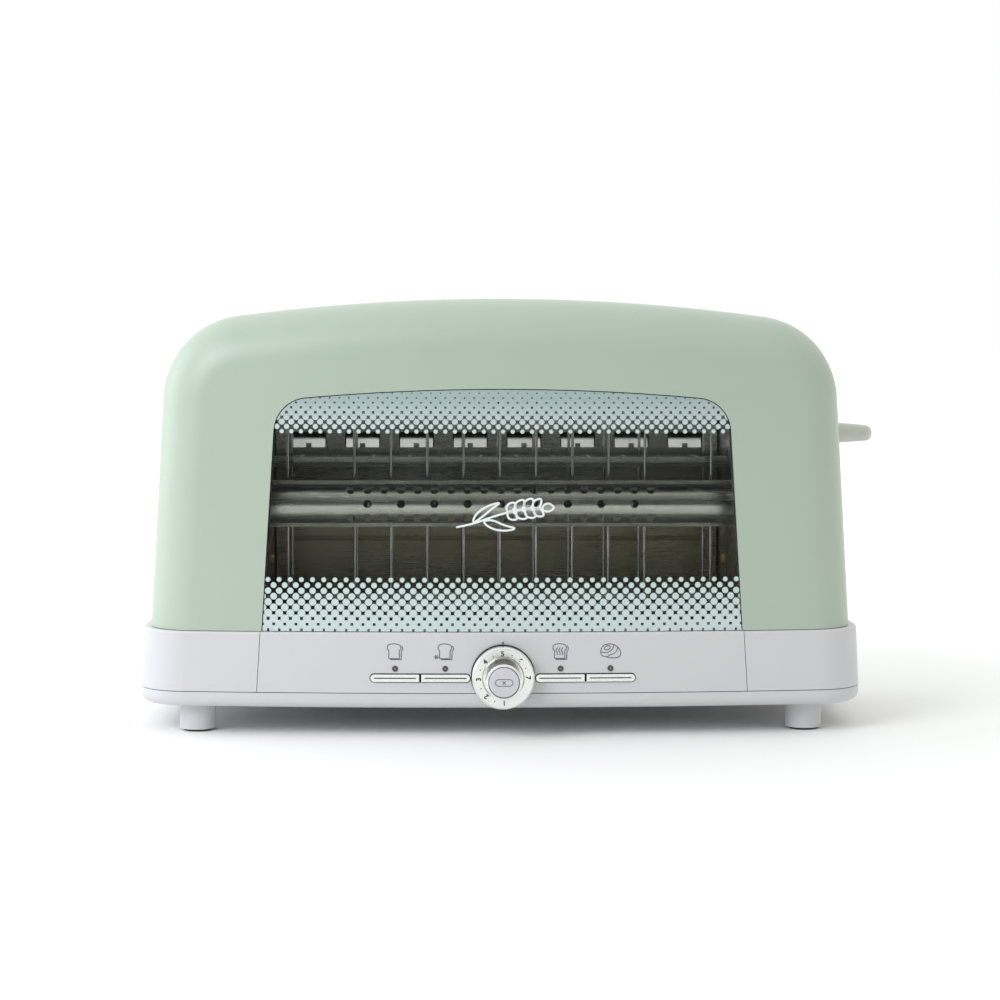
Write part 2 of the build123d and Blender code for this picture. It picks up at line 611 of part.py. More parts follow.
with BuildPart() as left_guide_rod:
    upright(-147, 0, PLATE_Z, PLATE_TOP_Z, 2.0)
write(left_guide_rod, "left_guide_rod")

SPRING_Y = 15.0
SPRING_R = 3.0
SPRING_WIRE_R = 0.4
SPRING_LOW_Z = SLIDER_Z + 4.6
SPRING_HIGH_Z = PLATE_TOP_Z - 1.0
with BuildPart() as return_spring:
    with BuildLine(Plane.XY.offset(SPRING_LOW_Z)) as coil_line:
        Helix(pitch=3.2, height=SPRING_HIGH_Z - SPRING_LOW_Z, radius=SPRING_R,
              center=(ROD_X, SPRING_Y, 0))
    with BuildSketch(Plane(coil_line.line @ 0, z_dir=coil_line.line % 0)):
        Circle(SPRING_WIRE_R)
    sweep(path=coil_line.line, is_frenet=True)
write(return_spring, "return_spring")

# ---------------------------------------------------------------- crumb tray, boards and fuse
TRAY_Z = 42.0
with BuildPart() as crumb_tray:
    with BuildSketch(Plane.XY.offset(TRAY_Z)):
        with Locations((0, 11.7)):
            RectangleRounded(244, 127.4, 5)
    extrude(amount=8)
    with BuildSketch(Plane.XY.offset(TRAY_Z + 1)):
        with Locations((0, 11.7)):
            RectangleRounded(242, 125.4, 4)
    extrude(amount=9, mode=Mode.SUBTRACT)
write(crumb_tray, "crumb_tray")

with BuildPart() as tray_handle:
    add(base_form(-0.1, 30, 53))
    add(base_form(BASE_WALL, 29, 54), mode=Mode.SUBTRACT)
    block(-124.8, 124.8, 40, 100, 40.8, 50.8, mode=Mode.INTERSECT)
    block(-30, 30, 75.45, 83, 42.5, 49.5)
    with BuildSketch(Plane.XY.offset(49.2)):
        with Locations((0, 84)):
            SlotOverall(90, 6)
    extrude(amount=1.6)
write(tray_handle, "tray_handle")

with BuildPart() as tray_rails:
    for side in (-1, 1):
        wall = sorted((side * 122.6, side * 123.6))
        lip = sorted((side * 118, side * 123.6))
        block(*wall, -50, 62, 40.4, CHASSIS_Z)
        block(*lip, -50, 62, 40.4, 41.4)
write(tray_rails, "tray_rails")

with BuildPart() as power_board:
    block(-163.6, -162, -44, 44, 64, 150)
    block(-173, -163.6, -36, -18, 70, 90)
    block(-173, -163.6, -8, 14, 68, 92)
    across(-162, -154, -28, 130, 6)
    across(-162, -155, 30, 80, 5)
    block(-162, -155, 18, 38, 110, 134)
write(power_board, "power_board")

with BuildPart() as thermal_fuse:
    along(-128.2, 14, 28, 150, 2.1)
    along(-128.2, 8, 34, 150, 0.5)
write(thermal_fuse, "thermal_fuse")
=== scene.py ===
"""Looks of the long-slot pop-up toaster: finishes for every part of its frame, the print and the marks on it,
and the studio it stands in. Lengths are metres, in the frame's own axes."""

import json
import math

import bmesh
import bpy
from bpy.props import FloatProperty, FloatVectorProperty, IntProperty, PointerProperty
from bpy.types import Operator, Panel, PropertyGroup
from mathutils import Matrix, Vector
from mathutils.bvhtree import BVHTree


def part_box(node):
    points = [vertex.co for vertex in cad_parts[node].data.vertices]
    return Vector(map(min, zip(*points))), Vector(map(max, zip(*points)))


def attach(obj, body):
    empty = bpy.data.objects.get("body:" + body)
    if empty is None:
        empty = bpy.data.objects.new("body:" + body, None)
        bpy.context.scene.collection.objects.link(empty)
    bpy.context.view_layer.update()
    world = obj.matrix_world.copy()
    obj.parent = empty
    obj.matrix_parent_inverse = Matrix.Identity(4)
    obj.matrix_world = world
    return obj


bl_info = {
    "name": "Long-slot toaster looks",
    "version": (1, 0, 0),
    "blender": (4, 5, 0),
    "location": "View3D > Sidebar > Toaster",
    "description": "Finishes, window print, control marks and studio for the long-slot toaster",
    "category": "Object",
}

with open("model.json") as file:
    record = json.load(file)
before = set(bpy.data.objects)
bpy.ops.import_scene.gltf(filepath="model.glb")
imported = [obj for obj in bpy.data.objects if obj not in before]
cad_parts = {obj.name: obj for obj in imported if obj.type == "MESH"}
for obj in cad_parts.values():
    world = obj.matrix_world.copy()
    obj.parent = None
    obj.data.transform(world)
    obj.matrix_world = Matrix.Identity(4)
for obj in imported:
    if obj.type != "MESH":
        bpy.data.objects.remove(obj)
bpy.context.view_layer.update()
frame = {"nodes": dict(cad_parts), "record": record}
MM = 0.001
KEYS = {"key_bread": "bread_key", "key_frozen": "frozen_key",
        "key_reheat": "reheat_key", "key_roll": "roll_key"}
FACE_FRONT = Matrix.Rotation(math.radians(90), 4, "X")  # turns a flat shape to face the front
OFF_AXIS = Matrix.Rotation(0.05, 4, "Z")  # a small turn, so that no corner of a circle lies on its middle

LENS_GAP = 0.005  # points of the lenses further apart than this along X belong to two lenses
LINE_FLATNESS = 0.12  # a drawn line's thickness for its width
INK_LIFT = 0.00005  # how far printed ink stands in front of a control's face
INK_ARCH_SHADE_FADE = 0.016  # height over which the window's dots darken into painted shade at the top of the glass
WELD = 0.00002  # corners of neighbouring dots closer than this are one corner
CUT_SLACK = 0.000001

POINTER_DOT = 0.0006  # radius
NUMBER_RING_DEPTH = 0.0144  # from the front of the dial's grip back to the ring with the numbers
NUMBER_STEP = 45  # degrees between two numbers
TOP_NUMBER = 5
TOP_NUMBER_TILT = 2  # degrees that the top number stands off the vertical
BETWEEN_DOT = 0.00032  # radius

SHADOW_RING_RIM = 0.00045  # how far the painted shadow ring shows past the dial
SHADOW_RING_GAP = 0.00045  # how far the painted shadow ring's face lies behind the dial
SHADOW_RING_WIDTH = 0.004
SHADOW_RING_THICKNESS = 0.0003

GROOVE_SHADE_END = 0.0018  # bare metal left at each end of a key's painted groove shade
GROOVE_SHADE_RADIUS = 0.00026
GROOVE_SHADE_THICKNESS = 0.0002
GROOVE_SHADE_SINK = 0.0002  # how far the painted groove shade lies behind the key's face
GROOVE_SHADE_LEVEL = 0.0009  # height above the painted groove shade at which the key's face is sought

CHIP_RADIUS = 0.0005
CHIP_LIFT = 0.00003

PILL_HALF_LENGTH = 0.0046
PILL_RADIUS = 0.0019
PILL_THICKNESS = 0.00004
PILL_LINE = 0.00042
CROSS_LINE = 0.00045

FLOOR_HALF = 12
GLOW_START = 0.25  # distance from the toaster at which the floor starts to glow
GLOW_REACH = 0.8  # distance over which it comes up to full
LIGHT_AIM = (0, 0, 0.1)
AIM_LEFT = 0.00166  # how far left of the window's middle the camera aims
AIM_Y = -0.0747
AIM_HEIGHT = 0.1223


# ---------------------------------------------------------------- materials
class Value:
    """A number on its way through a shader: arithmetic on it adds the Math nodes."""

    def __init__(self, shading, socket):
        self.shading = shading
        self.socket = socket

    def __add__(self, other):
        return self.shading.maths("ADD", self, other)

    def __sub__(self, other):
        return self.shading.maths("SUBTRACT", self, other)

    def __rsub__(self, other):
        return self.shading.maths("SUBTRACT", other, self)

    def __mul__(self, other):
        return self.shading.maths("MULTIPLY", self, other)

    def __truediv__(self, other):
        return self.shading.maths("DIVIDE", self, other)

    __radd__ = __add__


class Shading:
    """A node tree in the making, and short ways to add to it."""

    def __init__(self, tree):
        self.tree = tree

    def feed(self, node, inputs):
        for key, value in inputs.items():
            socket = node.inputs[key]
            if isinstance(value, Value):
                value = value.socket
            if isinstance(value, bpy.types.NodeSocket):
                self.tree.links.new(value, socket)
            elif socket.type == "RGBA" and len(value) == 3:
                socket.default_value = (*value, 1)
            else:
                socket.default_value = value

    def node(self, kind, settings=None, inputs=None):
        """Adds a node of that kind, with its settings first and its sockets after them."""
        node = self.tree.nodes.new(kind)
        for key, value in (settings or {}).items():
            setattr(node, key, value)
        self.feed(node, inputs or {})
        return node

    def maths(self, operation, *terms, clamp=False):
        settings = {"operation": operation, "use_clamp": clamp}
        node = self.node("ShaderNodeMath", settings, dict(enumerate(terms)))
        return Value(self, node.outputs[0])

    def clamp(self, value):
        return self.maths("ADD", value, 0.0, clamp=True)

    def blend(self, factor, first, second):
        """A colour between two others."""
        node = self.node("ShaderNodeMix", {"data_type": "RGBA"}, {0: factor, 6: first, 7: second})
        return node.outputs[2]

    def parts(self, vector):
        """The three numbers of a vector or direction."""
        node = self.node("ShaderNodeSeparateXYZ", None, {0: vector})
        return [Value(self, output) for output in node.outputs]


class Finish(Shading):
    """A material in the making: one Principled shader, fed with what varies over the surface."""

    def __init__(self, name, **shader):
        self.material = bpy.data.materials.new(name)
        self.material.use_nodes = True
        super().__init__(self.material.node_tree)
        self.shader = self.tree.nodes["Principled BSDF"]
        self.feed(self.shader, {key.replace("_", " "): value for key, value in shader.items()})

    def place(self, stretch=(1, 1, 1), centre=(0, 0, 0)):
        """Object coordinates about a centre, stretched along each axis."""
        coordinates = self.node("ShaderNodeTexCoord").outputs["Object"]
        shift = tuple(-c * s for c, s in zip(centre, stretch))
        return self.node("ShaderNodeMapping", None,
                         {"Vector": coordinates, "Location": shift, "Scale": stretch}).outputs["Vector"]

    def outside(self, centre):
        """1 on faces that look away from a hollow piece's middle, 0 on those that look towards it."""
        normal = self.node("ShaderNodeNewGeometry").outputs["Normal"]
        dot = self.node("ShaderNodeVectorMath", {"operation": "DOT_PRODUCT"},
                        {0: self.place(centre=centre), 1: normal}).outputs["Value"]
        return self.maths("GREATER_THAN", dot, 0.0)

    def noise(self, scale, detail=2.0, stretch=(1, 1, 1), roughness=0.5):
        inputs = {"Vector": self.place(stretch), "Scale": scale, "Detail": detail, "Roughness": roughness}
        return Value(self, self.node("ShaderNodeTexNoise", None, inputs).outputs["Fac"])

    def cells(self, scale, output="Distance"):
        inputs = {"Vector": self.place(), "Scale": scale}
        return self.node("ShaderNodeTexVoronoi", None, inputs).outputs[output]

    def finish(self, colour, rough, height=None, depth=0.0):
        """Links what varies over the surface and returns the material. depth is the relief in metres."""
        self.feed(self.shader, {"Base Color": colour, "Roughness": rough})
        if height is not None:
            bump = self.node("ShaderNodeBump", None, {"Height": height, "Distance": depth, "Strength": 1.0})
            self.feed(self.shader, {"Normal": bump.outputs["Normal"]})
        return self.material


def shade(colour, amount):
    """A colour made darker or lighter."""
    return tuple(min(1.0, c * amount) for c in colour)


def satin_enamel(name, colour, roughness=0.42, hollow=None, inside=(0.05, 0.05, 0.045)):
    """Sprayed and baked enamel: a faint orange peel under a satin face. A hollow piece is dark inside."""
    paint = Finish(name, Specular_IOR_Level=0.55)
    peel = paint.noise(620, 1.0)
    grit = paint.noise(4200, 2.0)
    drift = paint.noise(14, 3.0)
    face = paint.blend(drift, shade(colour, 0.975), shade(colour, 1.025))
    if hollow is not None:
        face = paint.blend(paint.outside(hollow), inside, face)
    return paint.finish(colour=face,
                        rough=roughness + (grit - 0.5) * 0.12 + (drift - 0.5) * 0.06,
                        height=peel * 0.8 + grit * 0.2, depth=0.000018)


def moulded_plastic(name, colour, roughness=0.45, grain=3000, relief=0.000012):
    """Moulded plastic with the fine spark-eroded grain of its tool."""
    plastic = Finish(name, Specular_IOR_Level=0.45)
    spark = plastic.noise(grain, 2.0, roughness=0.6)
    flow = plastic.noise(22, 2.0)
    return plastic.finish(colour=plastic.blend(flow, shade(colour, 0.985), shade(colour, 1.015)),
                          rough=roughness + (spark - 0.5) * 0.14 + (flow - 0.5) * 0.05,
                          height=spark, depth=relief)


def rolled_steel(name, colour, roughness=0.3, stretch=(0.02, 1, 1), grain=2600, stain=0.12):
    """Rolled or brushed sheet: fine lines along one axis, with slow cloudy staining."""
    steel = Finish(name, Metallic=1.0)
    lines = steel.noise(grain, 3.0, stretch)
    cloud = steel.noise(26, 4.0)
    tone = lines * 0.5 + cloud * 0.5
    return steel.finish(colour=steel.blend(tone, shade(colour, 1 - stain), shade(colour, 1 + stain)),
                        rough=roughness + (lines - 0.5) * 0.2 + (cloud - 0.5) * 0.12,
                        height=lines, depth=0.000008)


def zinc_sheet(name, colour, roughness=0.36):
    """Zinc-coated sheet: large spangles, each with its own tone and gloss."""
    zinc = Finish(name, Metallic=1.0)
    tone = Value(zinc, zinc.node("ShaderNodeSeparateColor", None,
                                 {0: zinc.cells(110, output="Color")}).outputs[0])
    lines = zinc.noise(1800, 2.0, (0.05, 1, 1))
    return zinc.finish(colour=zinc.blend(tone, shade(colour, 0.84), shade(colour, 1.1)),
                       rough=roughness + (tone - 0.5) * 0.16 + (lines - 0.5) * 0.1,
                       height=lines * 0.5 + tone * 0.2, depth=0.00001)


def heated_steel(name, bright_and_painted_lit, heat_tint_and_painted_shade, burn_and_painted_shade, heater_z):
    """Bright sheet with heat tint and painted light: dark level with the heaters and brown below them, partly
    heat tint and partly painted shade of the deep chamber; still bright well above, painted as if lit through
    the slot.
    """
    steel = Finish(name, Metallic=1.0)
    lines = steel.noise(2400, 3.0, (0.02, 1, 1))
    cloud = steel.noise(34, 4.0, (0.6, 1, 1.4))
    height = steel.parts(steel.place())[2] - heater_z
    # painted shade and light: darker near and below the heaters (part heat tint), bright above them as if lit
    # through the slot
    dark = steel.clamp((0.026 - height) / 0.006 + (cloud - 0.5) * 0.6)
    brown = steel.clamp((-0.004 - height) / 0.02 + (cloud - 0.5) * 0.8)
    return steel.finish(colour=steel.blend(dark, bright_and_painted_lit, steel.blend(brown, heat_tint_and_painted_shade, burn_and_painted_shade)),
                        rough=0.28 + (lines - 0.5) * 0.16 + (cloud - 0.5) * 0.14,
                        height=lines, depth=0.000008)


def bright_wire(name, colour, roughness=0.14):
    """Drawn wire: bright, with fine die lines and a little heat haze."""
    wire = Finish(name, Metallic=1.0)
    haze = wire.noise(60, 3.0)
    lines = wire.noise(5200, 2.0, (1, 1, 0.04))
    return wire.finish(colour=wire.blend(haze, shade(colour, 0.82), shade(colour, 1.05)),
                       rough=roughness + (haze - 0.5) * 0.12 + (lines - 0.5) * 0.06,
                       height=lines, depth=0.000004)


def turned_silver(name, colour, centre):
    """Satin silver turned on a lathe: fine rings about the dial's axis."""
    silver = Finish(name, Metallic=1.0)
    x, _, z = silver.parts(silver.place(centre=centre))
    radius = silver.maths("SQRT", x * x + z * z)
    rings = silver.maths("SINE", radius * (2 * math.pi / 0.00032)) * 0.5 + 0.5
    wear = silver.noise(380, 3.0)
    return silver.finish(colour=silver.blend(wear, shade(colour, 0.95), shade(colour, 1.04)),
                         rough=0.2 + (rings - 0.5) * 0.08 + (wear - 0.5) * 0.1,
                         height=rings * 0.7 + wear * 0.3, depth=0.000007)


def clear_glass(name, tint, roughness=0.0):
    """Clear glass that lets daylight through to what stands behind it."""
    glass = Finish(name, Base_Color=tint, Roughness=roughness, Transmission_Weight=1.0, IOR=1.36)
    rays = glass.node("ShaderNodeLightPath").outputs["Is Shadow Ray"]
    open_air = glass.node("ShaderNodeBsdfTransparent", None, {"Color": tint})
    both = glass.node("ShaderNodeMixShader", None,
                      {0: rays, 1: glass.shader.outputs[0], 2: open_air.outputs[0]})
    glass.feed(glass.tree.nodes["Material Output"], {"Surface": both.outputs[0]})
    return glass.material


def fired_clay(name, colour, roughness, speck=900):
    """Unglazed ceramic, graphite and other fired parts: a dry, pitted, slightly mottled face."""
    clay = Finish(name, Specular_IOR_Level=0.35)
    pits = clay.noise(speck, 4.0, roughness=0.65)
    return clay.finish(colour=clay.blend(pits, shade(colour, 0.86), shade(colour, 1.08)),
                       rough=roughness + (pits - 0.5) * 0.2, height=pits, depth=0.00003)


def solder_mask(name, colour):
    """A circuit board under green mask, with the faint relief of its tracks."""
    board = Finish(name, Specular_IOR_Level=0.5)
    tracks = board.cells(420)
    weave = board.noise(2600, 1.0)
    return board.finish(colour=board.blend(tracks, shade(colour, 0.7), shade(colour, 1.6)),
                        rough=0.34 + (weave - 0.5) * 0.1, height=tracks, depth=0.00003)


def screen_ink(name, colour, painted_arch_shade=None, low=0.0, high=1.0):
    """Screen-printed ink: opaque, with the faint unevenness the mesh leaves.
    It can darken between two heights, towards a painted shade."""
    ink = Finish(name, Specular_IOR_Level=0.4)
    mesh = ink.noise(3600, 2.0)
    face = ink.blend(mesh, shade(colour, 0.96), shade(colour, 1.03))
    # painted shade: above low, the ink blends towards the darker colour
    if painted_arch_shade is not None:
        height = ink.parts(ink.place())[2]
        face = ink.blend(ink.clamp((height - low) / (high - low)), face, painted_arch_shade)
    return ink.finish(colour=face, rough=0.5 + (mesh - 0.5) * 0.15, height=mesh, depth=0.000004)


def box_centre(node):
    low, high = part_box(node)
    return (low + high) / 2


def lamp_places():
    """Where the status lenses stand along X: the middle of each separate lens, left to right."""
    xs = sorted(v.co.x for v in frame["nodes"]["status_lenses"].data.vertices)
    starts = [xs[0]] + [b for a, b in zip(xs, xs[1:]) if b - a > LENS_GAP]
    ends = [a for a, b in zip(xs, xs[1:]) if b - a > LENS_GAP] + [xs[-1]]
    return [(start + end) / 2 for start, end in zip(starts, ends)]


def slot_finishes(colours):
    """The finish of each material slot in the frame's record."""
    dial = box_centre("dial_knob")
    heater_z = box_centre("front_heater_tube").z
    return {
        "shell_paint": satin_enamel("shell_paint_finish", colours.enamel, 0.4, box_centre("outer_shell")),
        "base_plastic": moulded_plastic("base_plastic_finish", colours.base, 0.42),
        "collar_steel": rolled_steel("collar_steel_finish", (0.62, 0.62, 0.6), 0.3),
        "clear_glass": clear_glass("clear_glass_finish", (0.95, 0.975, 0.965)),
        "frame_black": satin_enamel("frame_black_finish", (0.03, 0.032, 0.03), 0.5),
        "rubber_black": moulded_plastic("rubber_black_finish", (0.03, 0.03, 0.03), 0.75, 1400, 0.00003),
        "silver_controls": turned_silver("silver_controls_finish", (0.86, 0.86, 0.83), dial),
        "button_plastic": moulded_plastic("button_plastic_finish", colours.button, 0.4, 3600, 0.000008),
        "lamp_lens": moulded_plastic("lamp_lens_finish", (0.075, 0.075, 0.08), 0.18, 2400, 0.00001),
        "lever_plastic": moulded_plastic("lever_plastic_finish", colours.lever, 0.36),
        "zinc_steel": zinc_sheet("zinc_steel_finish", (0.36, 0.36, 0.345)),
        # painted light and shade: this sheet is painted bright near the slot and dark by the heaters, partly
        # heat tint
        "dark_steel": heated_steel("dark_steel_finish", (0.8, 0.8, 0.78), (0.33, 0.325, 0.295),
                                   (0.34, 0.31, 0.225), heater_z),
        "cover_steel": rolled_steel("cover_steel_finish", (0.4, 0.39, 0.345), 0.24, (0.03, 1, 1), 1900, 0.1),
        "wire_steel": bright_wire("wire_steel_finish", (0.55, 0.55, 0.53)),
        "brass_screw": rolled_steel("brass_screw_finish", (0.72, 0.52, 0.22), 0.3, (1, 1, 0.1), 3000, 0.15),
        "quartz": clear_glass("quartz_finish", (0.93, 0.93, 0.92), 0.08),
        "graphite": fired_clay("graphite_finish", (0.045, 0.045, 0.047), 0.55, 1600),
        "ceramic_white": fired_clay("ceramic_white_finish", (0.78, 0.75, 0.68), 0.6),
        "board_green": solder_mask("board_green_finish", (0.02, 0.12, 0.05)),
        "switch_black": moulded_plastic("switch_black_finish", (0.03, 0.03, 0.032), 0.4),
        "spring_steel": bright_wire("spring_steel_finish", (0.5, 0.5, 0.5), 0.28),
        "coil_copper": bright_wire("coil_copper_finish", (0.66, 0.33, 0.17), 0.3),
    }


# ---------------------------------------------------------------- drawing helpers
def piece_from(bm, name, material, body):
    """Turns a finished bmesh into a piece at the origin that rides on a body."""
    if not bm.faces:
        raise ValueError(f"{name} came out empty")
    bmesh.ops.recalc_face_normals(bm, faces=bm.faces)
    mesh = bpy.data.meshes.new(name)
    bm.to_mesh(mesh)
    bm.free()
    mesh.materials.append(material)
    piece = bpy.data.objects.new(name, mesh)
    bpy.context.scene.collection.objects.link(piece)
    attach(piece, body)


def lay_on_front(bm, node, lift, level=None):
    """Slides every point of a flat drawing back along Y until it stands lift in front of a part's face.
    The face is sought at the point's own height, or at one level for marks that lie over an opening."""
    mesh = frame["nodes"][node].data
    tree = BVHTree.FromPolygons([v.co for v in mesh.vertices], [p.vertices for p in mesh.polygons])
    start_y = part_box(node)[0].y - 1
    for vertex in bm.verts:
        height = vertex.co.z if level is None else level
        hit = tree.ray_cast(Vector((vertex.co.x, start_y, height)), Vector((0, 1, 0)))[0]
        if hit is None:
            raise ValueError(f"a mark at {vertex.co} misses {node}")
        vertex.co.y += hit.y - lift


def add_lines(bm, lines, width, centre):
    """Adds drawn lines to a bmesh. Each line is (points, closed), in millimetres about centre."""
    curve = bpy.data.curves.new("drawn_lines", "CURVE")
    curve.dimensions = "3D"
    curve.bevel_depth = width / 2
    curve.bevel_resolution = 1
    curve.resolution_u = 5
    curve.use_fill_caps = True
    for points, closed in lines:
        spline = curve.splines.new("NURBS")
        spline.points.add(len(points) - 1)
        for point, (x, y) in zip(spline.points, points):
            point.co = (x * MM, y * MM, 0, 1)
        spline.order_u = 3
        spline.use_cyclic_u = closed
        spline.use_endpoint_u = not closed
    drawn = bpy.data.objects.new("drawn_lines", curve)
    mesh = bpy.data.meshes.new_from_object(drawn)
    bpy.data.objects.remove(drawn)
    mesh.transform(Matrix.Translation(centre) @ FACE_FRONT @ Matrix.Diagonal((1, 1, LINE_FLATNESS, 1)))
    bm.from_mesh(mesh)
    bpy.data.meshes.remove(mesh)


def add_text(bm, text, size, centre, turn=0.0, thickness=0.00003, weight=0.00012):
    """Adds raised text to a bmesh, standing upright before it is turned about Y."""
    curve = bpy.data.curves.new("lettering", "FONT")
    curve.body = text
    curve.size = size
    curve.extrude = thickness
    curve.offset = weight
    curve.align_x = "CENTER"
    curve.align_y = "CENTER"
    lettering = bpy.data.objects.new("lettering", curve)
    mesh = bpy.data.meshes.new_from_object(lettering)
    bpy.data.objects.remove(lettering)
    mesh.transform(Matrix.Translation(centre) @ Matrix.Rotation(turn, 4, "Y") @ FACE_FRONT)
    bm.from_mesh(mesh)
    bpy.data.meshes.remove(mesh)


def add_dot(bm, radius, centre, segments=20, thickness=0.00006):
    """Adds a thin round dot to a bmesh, facing the front."""
    bmesh.ops.create_cone(bm, cap_ends=True, segments=segments, radius1=radius, radius2=radius,
                          depth=thickness, matrix=Matrix.Translation(centre) @ FACE_FRONT)


def add_bar(bm, x0, x1, z, radius, thickness, line=None):
    """Adds a thin bar with round ends, facing the front; with a line width, only its outline."""
    middle = (x0 + x1) / 2
    stretch = (x1 - x0) / 2 - radius
    place = Matrix.Translation((middle, 0, z)) @ FACE_FRONT @ OFF_AXIS
    bar = bmesh.ops.create_circle(bm, cap_ends=True, segments=32, radius=radius, matrix=place)
    for way in (-1, 1):
        side = [v for v in bar["verts"] if (v.co.x - middle) * way > 0]
        bmesh.ops.translate(bm, verts=side, vec=(way * stretch, 0, 0))
    faces = list({face for v in bar["verts"] for face in v.link_faces})
    if line is not None:
        ring = bmesh.ops.inset_region(bm, faces=faces, thickness=line, use_even_offset=True,
                                      use_boundary=True)["faces"]
        bmesh.ops.delete(bm, geom=faces, context="FACES_ONLY")
        faces = ring
    raised = bmesh.ops.extrude_face_region(bm, geom=faces)["geom"]
    bmesh.ops.translate(bm, verts=[v for v in raised if isinstance(v, bmesh.types.BMVert)],
                        vec=(0, -thickness, 0))


def add_print_cell(bm, x, z, pitch, radius):
    """One dot of the window print. A dot too large for its cell fills the cell's diamond,
    except its corners."""
    half = pitch / 2
    place = Matrix.Translation((x, 0, z)) @ FACE_FRONT
    if radius <= half / math.sqrt(2):
        bmesh.ops.create_circle(bm, cap_ends=True, segments=16, radius=radius, matrix=place)
        return
    cell = bmesh.ops.create_circle(bm, cap_ends=True, segments=4, radius=half, matrix=place)
    if radius < half:
        bmesh.ops.bevel(bm, geom=cell["verts"], affect="VERTICES", offset=(half - radius) * math.sqrt(2),
                        segments=1, profile=0.5, material=-1)


def add_print_band(bm, pitch, first_z, step, radii, middle_x, half_width):
    """Rows of dots half a pitch apart, every other row moved over by half a pitch."""
    count = int(half_width / pitch) + 1
    for row, radius in enumerate(radii):
        shift = (row % 2) / 2
        for i in range(-count - 1, count + 1):
            add_print_cell(bm, middle_x + pitch * (i + shift), first_z + step * row, pitch, radius)


def rim_planes(node):
    """The planes of a plate's edge faces, each once, as (point, outward normal)."""
    planes = {}
    for face in frame["nodes"][node].data.polygons:
        if abs(face.normal.y) < 0.4:
            direction = (round(face.normal.x, 2), round(face.normal.z, 2))
            planes[direction] = (face.center.copy(), face.normal.copy())
    return planes.values()


# ---------------------------------------------------------------- what a user would change
def length(name, description, default):
    return FloatProperty(name=name, description=description, default=default, unit="LENGTH", precision=5)


def amount(name, description, default):
    return FloatProperty(name=name, description=description, default=default)


def colour(name, description, default):
    return FloatVectorProperty(name=name, description=description, default=default, subtype="COLOR",
                               min=0, max=1)


class ToasterColours(PropertyGroup):
    enamel: colour("Enamel", "Painted shell", (0.43, 0.51, 0.42))
    base: colour("Base", "Base, feet and tray front", (0.62, 0.62, 0.64))
    button: colour("Button", "Face of the cancel button", (0.6, 0.6, 0.64))
    lever: colour("Lever", "Lever knob", (0.68, 0.68, 0.62))
    window_ink: colour("Window ink", "Dots printed on the glass", (0.56, 0.67, 0.66))
    # painted shade: the dots under the shell's arch are printed darker, standing in for the arch's shadow on
    # the recessed glass
    window_ink_deep: colour("Deep window ink", "Dots at the top of the glass", (0.36, 0.45, 0.45))
    emblem_ink: colour("Emblem ink", "Sprig printed on the glass", (0.85, 0.9, 0.9))
    panel_ink: colour("Panel ink", "Symbols beside the keys", (0.12, 0.15, 0.17))
    dial_ink: colour("Dial ink", "Numbers on the dial", (0.02, 0.02, 0.02))


class ToasterPrint(PropertyGroup):
    lower_pitch: length("Lower pitch", "Spacing of the dots below the view", 0.00574)
    upper_pitch: length("Upper pitch", "Spacing of the dots above the view", 0.00492)
    lower_start: length("Lower start", "Height of the smallest row below the view", 0.0809)
    upper_start: length("Upper start", "Height of the smallest row above the view", 0.157)
    margin: length("Margin", "Bare glass left round the print", 0.00012)
    lift: length("Lift", "How far the ink stands in front of the glass", 0.00008)
    emblem_height: length("Emblem height", "Height of the sprig's middle", 0.1165)
    emblem_line: length("Emblem line", "Width of the sprig's lines", 0.0011)


class ToasterMarks(PropertyGroup):
    symbol_height: length("Symbol height", "Height of the panel symbols above the floor", 0.0442)
    symbol_line: length("Symbol line", "Width of the symbols' lines", 0.00048)
    pointer_height: length("Pointer height", "Height of the dot that the dial points to", 0.0487)
    number_size: length("Number size", "Height of the dial's numbers", 0.0036)
    number_radius: length("Number radius", "Distance of the numbers from the dial's axis", 0.01255)
    numbers: IntProperty(name="Numbers", description="How many numbers the dial has", default=7, min=2, max=8)


class ToasterStudio(PropertyGroup):
    azimuth: amount("Azimuth", "Camera's turn round the toaster", -1.51)
    elevation: amount("Elevation", "Camera's angle above level", 4.03)
    roll: amount("Roll", "Camera's tilt", 0.087)
    distance: length("Distance", "From the camera to the window", 1.204)
    lens: amount("Lens", "Focal length in millimetres", 85.0)
    surround: amount("Surround", "Strength of the white surround", 0.94)
    front_dim: amount("Front dim", "How much dimmer the surround is at the front", 0.8)
    key_power: amount("Key light", "Power of the large light at the left", 11.5)
    side_power: amount("Side light", "Power of the low light at the left", 2.5)
    far_glow: amount("Far glow", "Lift of the floor away from the toaster", 0.4)
    apron: amount("Apron", "How far the floor runs out in front of the toaster", 0.66)


# ---------------------------------------------------------------- pieces
class TOASTER_OT_finish_parts(Operator):
    """Give every part of the frame its finish"""

    bl_idname = "toaster.finish_parts"
    bl_label = "Finish the parts"

    def execute(self, context):
        finishes = slot_finishes(context.scene.toaster_colours)
        for part in frame["record"]["subparts"]:
            frame["nodes"][part["node"]].material_slots[0].material = finishes[part["material_slot"]]
        return {"FINISHED"}


